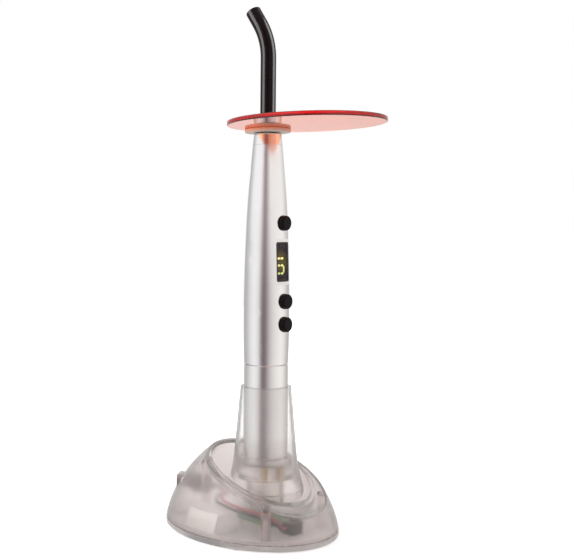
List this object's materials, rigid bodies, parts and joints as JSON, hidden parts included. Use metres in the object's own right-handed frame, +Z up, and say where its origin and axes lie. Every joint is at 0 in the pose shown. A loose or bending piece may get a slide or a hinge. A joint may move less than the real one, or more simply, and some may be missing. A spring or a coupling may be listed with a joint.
{
  "type": "dental curing light",
  "caption": "Pen-shaped dental curing light with a bent light guide and oval eye shield, standing in the tapered socket of its frosted clear charging base.",
  "frame": {"origin": "on the table, under the handpiece's axis", "axes": "+Z up along the handpiece; the low side of the base faces -Y, and the handpiece stands turned in it so that its buttons face 10 degrees from -Y towards +X; the base's two sides are at -X and +X, with -X at the left of someone who faces the low side"},
  "size_m": [0.0866, 0.1482, 0.2984],
  "materials": {
    "shell_frosted": "frosted clear",
    "plate_frosted": "frosted clear",
    "foot_rubber": "matte",
    "screw_steel": "plain",
    "jack_black": "moulded",
    "ballast_metal": "pale plated",
    "board_green": "solder mask",
    "chip_black": "moulded",
    "indicator_clear": "clear",
    "connector_grey": "moulded",
    "lead_red_cover": "smooth",
    "lead_black_cover": "smooth",
    "seat_pale": "moulded",
    "contact_gold": "plated",
    "plunger_gold": "plated",
    "cap_satin": "satin",
    "seal_black": "smooth",
    "insulator_black": "moulded",
    "contact_plate": "plated",
    "cell_wrap": "wrapped",
    "stop_black": "moulded",
    "insert_steel": "turned",
    "handle_satin": "satin",
    "display_black": "moulded",
    "window_black": "smoked",
    "digits_black": "moulded",
    "switch_black": "moulded",
    "sink_aluminium": "turned",
    "emitter_white": "board",
    "lens_clear": "polished",
    "nose_satin": "satin",
    "button_black": "smooth",
    "guide_glass": "polished",
    "guide_black": "satin",
    "ferrule_steel": "turned",
    "grommet_pale": "smooth",
    "shield_orange": "tinted clear"
  },
  "bodies": {
    "base": {"base_shell": "shell_frosted", "base_plate": "plate_frosted", "rubber_feet": "foot_rubber", "base_screws": "screw_steel", "dc_jack": "jack_black", "ballast_weights": "ballast_metal", "charge_board": "board_green", "board_chips": "chip_black", "charge_indicator": "indicator_clear", "board_connector": "connector_grey", "lead_red": "lead_red_cover", "lead_black": "lead_black_cover", "contact_seat": "seat_pale", "contact_barrels": "contact_gold"},
    "plunger_centre": {"plunger_centre": "plunger_gold"},
    "plunger_outer": {"plunger_outer": "plunger_gold"},
    "rear_cap": {"rear_cap": "cap_satin", "cap_seal": "seal_black", "cap_insulator": "insulator_black", "contact_ring": "contact_plate", "cap_contact": "contact_plate", "cell_contact": "contact_plate"},
    "handpiece": {"battery_cell": "cell_wrap", "cell_stop": "stop_black", "thread_insert": "insert_steel", "handle_tube": "handle_satin", "display_frame": "display_black", "display_window": "window_black", "display_module": "digits_black", "main_board": "board_green", "tact_switches": "switch_black", "heat_sink": "sink_aluminium", "led_emitter": "emitter_white", "led_lens": "lens_clear", "nose_ring": "nose_satin"},
    "button_power": {"button_power": "button_black"},
    "button_mode": {"button_mode": "button_black"},
    "button_time": {"button_time": "button_black"},
    "light_guide": {"guide_core": "guide_glass", "guide_sheath": "guide_black", "guide_ferrule": "ferrule_steel", "guide_seal": "seal_black"},
    "shield": {"shield_grommet": "grommet_pale", "shield_plate": "shield_orange"}
  },
  "joints": [
    {"name": "handpiece_lift", "type": "slide", "parent": "base", "child": "handpiece", "axis": [0, 0, 1], "range_m": [0, 0.06]},
    {"name": "cap_unscrew", "type": "hinge", "parent": "handpiece", "child": "rear_cap", "pos_m": [0, 0, 0.067], "axis": [0, 0, -1], "range_deg": [0, 1080]},
    {"name": "power_press", "type": "slide", "parent": "handpiece", "child": "button_power", "axis": [-0.1736, 0.9848, 0], "range_m": [0, 0.0008], "stiffness_N_per_m": 1500, "springref_m": -0.0003},
    {"name": "mode_press", "type": "slide", "parent": "handpiece", "child": "button_mode", "axis": [-0.1736, 0.9848, 0], "range_m": [0, 0.0008], "stiffness_N_per_m": 1500, "springref_m": -0.0003},
    {"name": "time_press", "type": "slide", "parent": "handpiece", "child": "button_time", "axis": [-0.1736, 0.9848, 0], "range_m": [0, 0.0008], "stiffness_N_per_m": 1500, "springref_m": -0.0003},
    {"name": "guide_swivel", "type": "hinge", "parent": "handpiece", "child": "light_guide", "pos_m": [0, 0, 0.22], "axis": [0, 0, 1], "continuous": true},
    {"name": "shield_swivel", "type": "hinge", "parent": "handpiece", "child": "shield", "pos_m": [0, 0, 0.2282], "axis": [0, 0, 1], "continuous": true},
    {"name": "centre_contact_press", "type": "slide", "parent": "base", "child": "plunger_centre", "axis": [0, 0, 1], "range_m": [-0.001, 0], "stiffness_N_per_m": 300, "springref_m": 0.0004},
    {"name": "outer_contact_press", "type": "slide", "parent": "base", "child": "plunger_outer", "axis": [0, 0, 1], "range_m": [-0.001, 0], "stiffness_N_per_m": 300, "springref_m": 0.0004}
  ]
}
